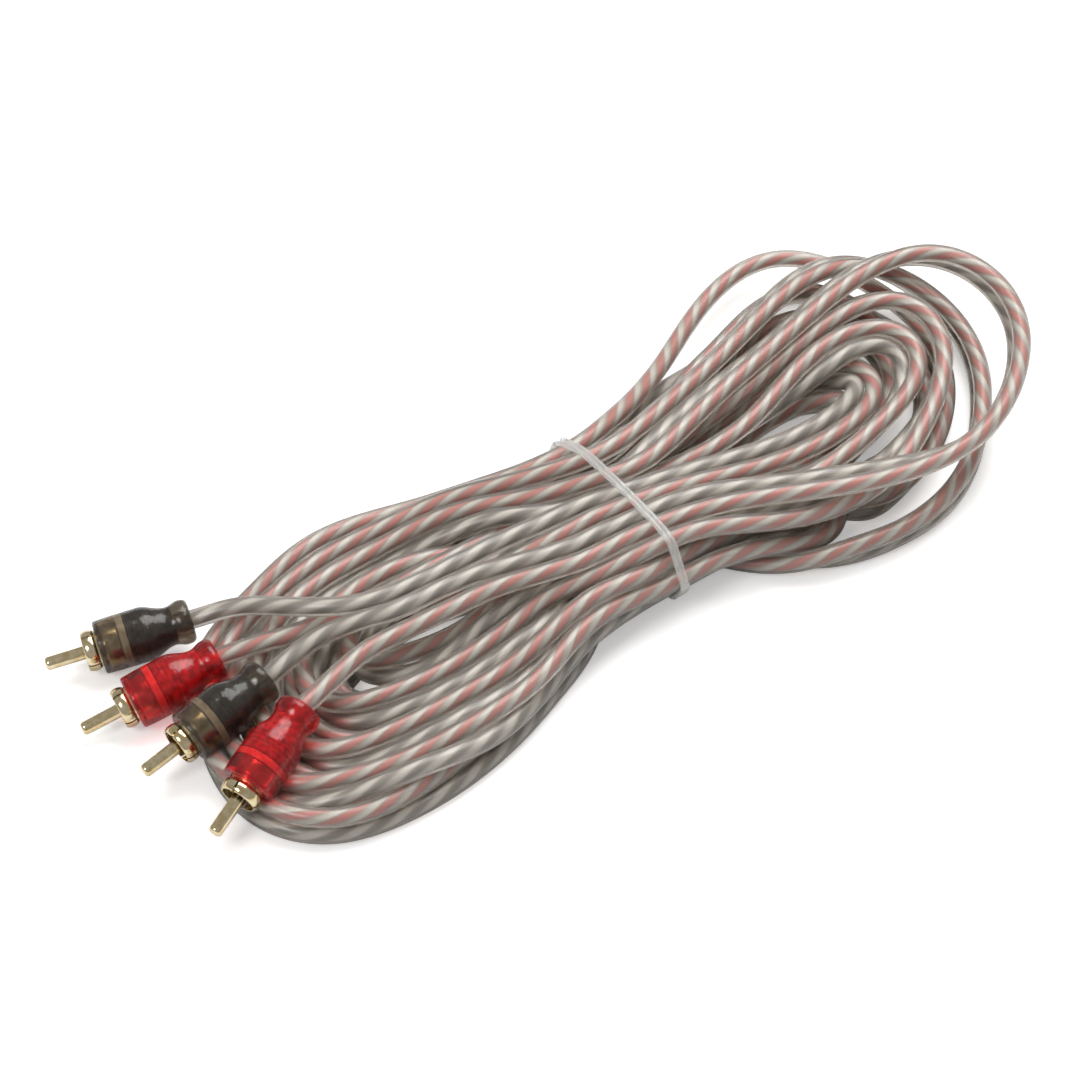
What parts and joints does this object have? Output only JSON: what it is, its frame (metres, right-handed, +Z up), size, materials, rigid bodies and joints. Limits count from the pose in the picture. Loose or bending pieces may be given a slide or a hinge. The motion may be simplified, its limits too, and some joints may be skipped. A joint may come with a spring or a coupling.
{
  "type": "rca audio cable",
  "caption": "Stereo audio interconnect: twin shielded lead folded into a tied hank, with moulded red and smoke phono plugs at the ends.",
  "frame": {"origin": "on the surface that the hank lies on, under the middle of the whole bundle", "axes": "+X along the hank, from the plugs at -X to the far fold; +Z up; +Y to the hank's far side"},
  "size_m": [0.2606, 0.1032, 0.0252],
  "materials": {
    "plug_gold": "gold flash over nickel on brass, bright",
    "insulator": "natural moulded plastic",
    "inner_mould_dark": "black moulded plastic",
    "inner_mould_red": "red moulded plastic",
    "copper": "bare copper strands",
    "boot_smoke": "glossy see-through smoke soft plastic",
    "boot_red": "glossy see-through red soft plastic",
    "lead_jacket": "clear glossy jacket over coloured spiral bands",
    "tie_clear": "clear glossy plastic strip"
  },
  "bodies": {
    "root": {"pin_a_black": "plug_gold", "pin_a_red": "plug_gold", "pin_b_black": "plug_gold", "pin_b_red": "plug_gold", "shell_a_black": "plug_gold", "shell_a_red": "plug_gold", "shell_b_black": "plug_gold", "shell_b_red": "plug_gold", "insulator_a_black": "insulator", "insulator_a_red": "insulator", "insulator_b_black": "insulator", "insulator_b_red": "insulator", "inner_mould_a_black": "inner_mould_dark", "inner_mould_a_red": "inner_mould_red", "inner_mould_b_black": "inner_mould_dark", "inner_mould_b_red": "inner_mould_red", "signal_wire_a_black": "copper", "signal_wire_a_red": "copper", "signal_wire_b_black": "copper", "signal_wire_b_red": "copper", "shield_wire_a_black": "copper", "shield_wire_a_red": "copper", "shield_wire_b_black": "copper", "shield_wire_b_red": "copper", "boot_a_black": "boot_smoke", "boot_a_red": "boot_red", "boot_b_black": "boot_smoke", "boot_b_red": "boot_red", "lead_tail_a_black": "lead_jacket", "lead_tail_a_red": "lead_jacket", "lead_tail_b_black": "lead_jacket", "lead_tail_b_red": "lead_jacket", "cable_hank": "lead_jacket", "tie_strip": "tie_clear"}
  },
  "joints": []
}
